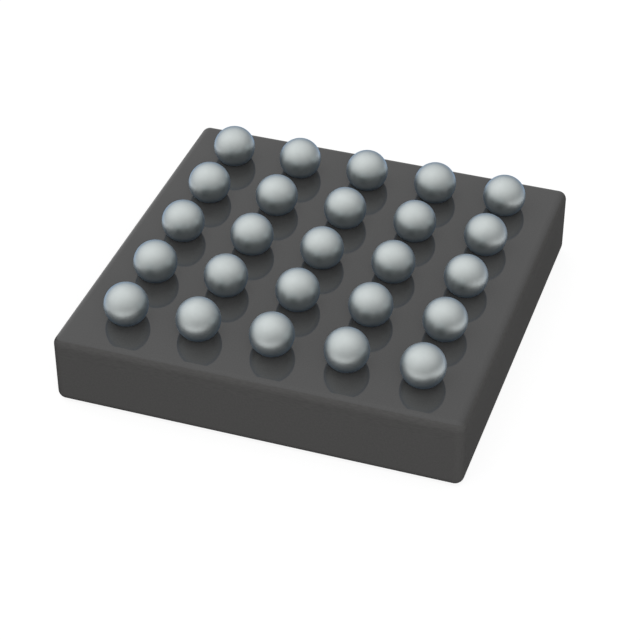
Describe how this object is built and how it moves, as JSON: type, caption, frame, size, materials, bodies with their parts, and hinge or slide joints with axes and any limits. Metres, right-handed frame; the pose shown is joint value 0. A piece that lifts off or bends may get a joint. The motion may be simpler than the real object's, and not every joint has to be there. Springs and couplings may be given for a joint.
{
  "type": "ball grid array chip",
  "caption": "Square dark ball grid array chip package with rounded edges, lying on its marked face with a full grid of bright solder balls facing up.",
  "frame": {"origin": "centre of the marked face, which the chip lies on", "axes": "+Z from the marked face towards the solder balls, +X along a row of balls from column 1 to column 5, +Y from row A to row E"},
  "size_m": [0.0054, 0.0054, 0.0015],
  "materials": {
    "mould_compound": "satin dark grey filled epoxy",
    "solder_mask": "satin dark grey cured ink",
    "laminate": "dark glass cloth and resin",
    "solder": "smooth reflowed tin silver solder",
    "copper": "plated copper",
    "silicon": "polished silicon",
    "silver_epoxy": "silver filled adhesive",
    "gold": "drawn gold wire"
  },
  "bodies": {
    "root": {"mould_cap": "mould_compound", "die": "silicon", "die_attach": "silver_epoxy", "die_side_mask": "solder_mask", "substrate_core": "laminate", "ball_side_mask": "solder_mask", "copper_nets": "copper", "ground_paddle": "copper", "ball_a1": "solder", "ball_a2": "solder", "ball_a3": "solder", "ball_a4": "solder", "ball_a5": "solder", "ball_b1": "solder", "ball_b2": "solder", "ball_b3": "solder", "ball_b4": "solder", "ball_b5": "solder", "ball_c1": "solder", "ball_c2": "solder", "ball_c3": "solder", "ball_c4": "solder", "ball_c5": "solder", "ball_d1": "solder", "ball_d2": "solder", "ball_d3": "solder", "ball_d4": "solder", "ball_d5": "solder", "ball_e1": "solder", "ball_e2": "solder", "ball_e3": "solder", "ball_e4": "solder", "ball_e5": "solder", "bond_wire_a1": "gold", "bond_wire_a2": "gold", "bond_wire_a3": "gold", "bond_wire_a4": "gold", "bond_wire_a5": "gold", "bond_wire_b1": "gold", "bond_wire_b2": "gold", "bond_wire_b3": "gold", "bond_wire_b4": "gold", "bond_wire_b5": "gold", "bond_wire_c1": "gold", "bond_wire_c2": "gold", "bond_wire_c4": "gold", "bond_wire_c5": "gold", "bond_wire_d1": "gold", "bond_wire_d2": "gold", "bond_wire_d3": "gold", "bond_wire_d4": "gold", "bond_wire_d5": "gold", "bond_wire_e1": "gold", "bond_wire_e2": "gold", "bond_wire_e3": "gold", "bond_wire_e4": "gold", "bond_wire_e5": "gold"}
  },
  "joints": []
}
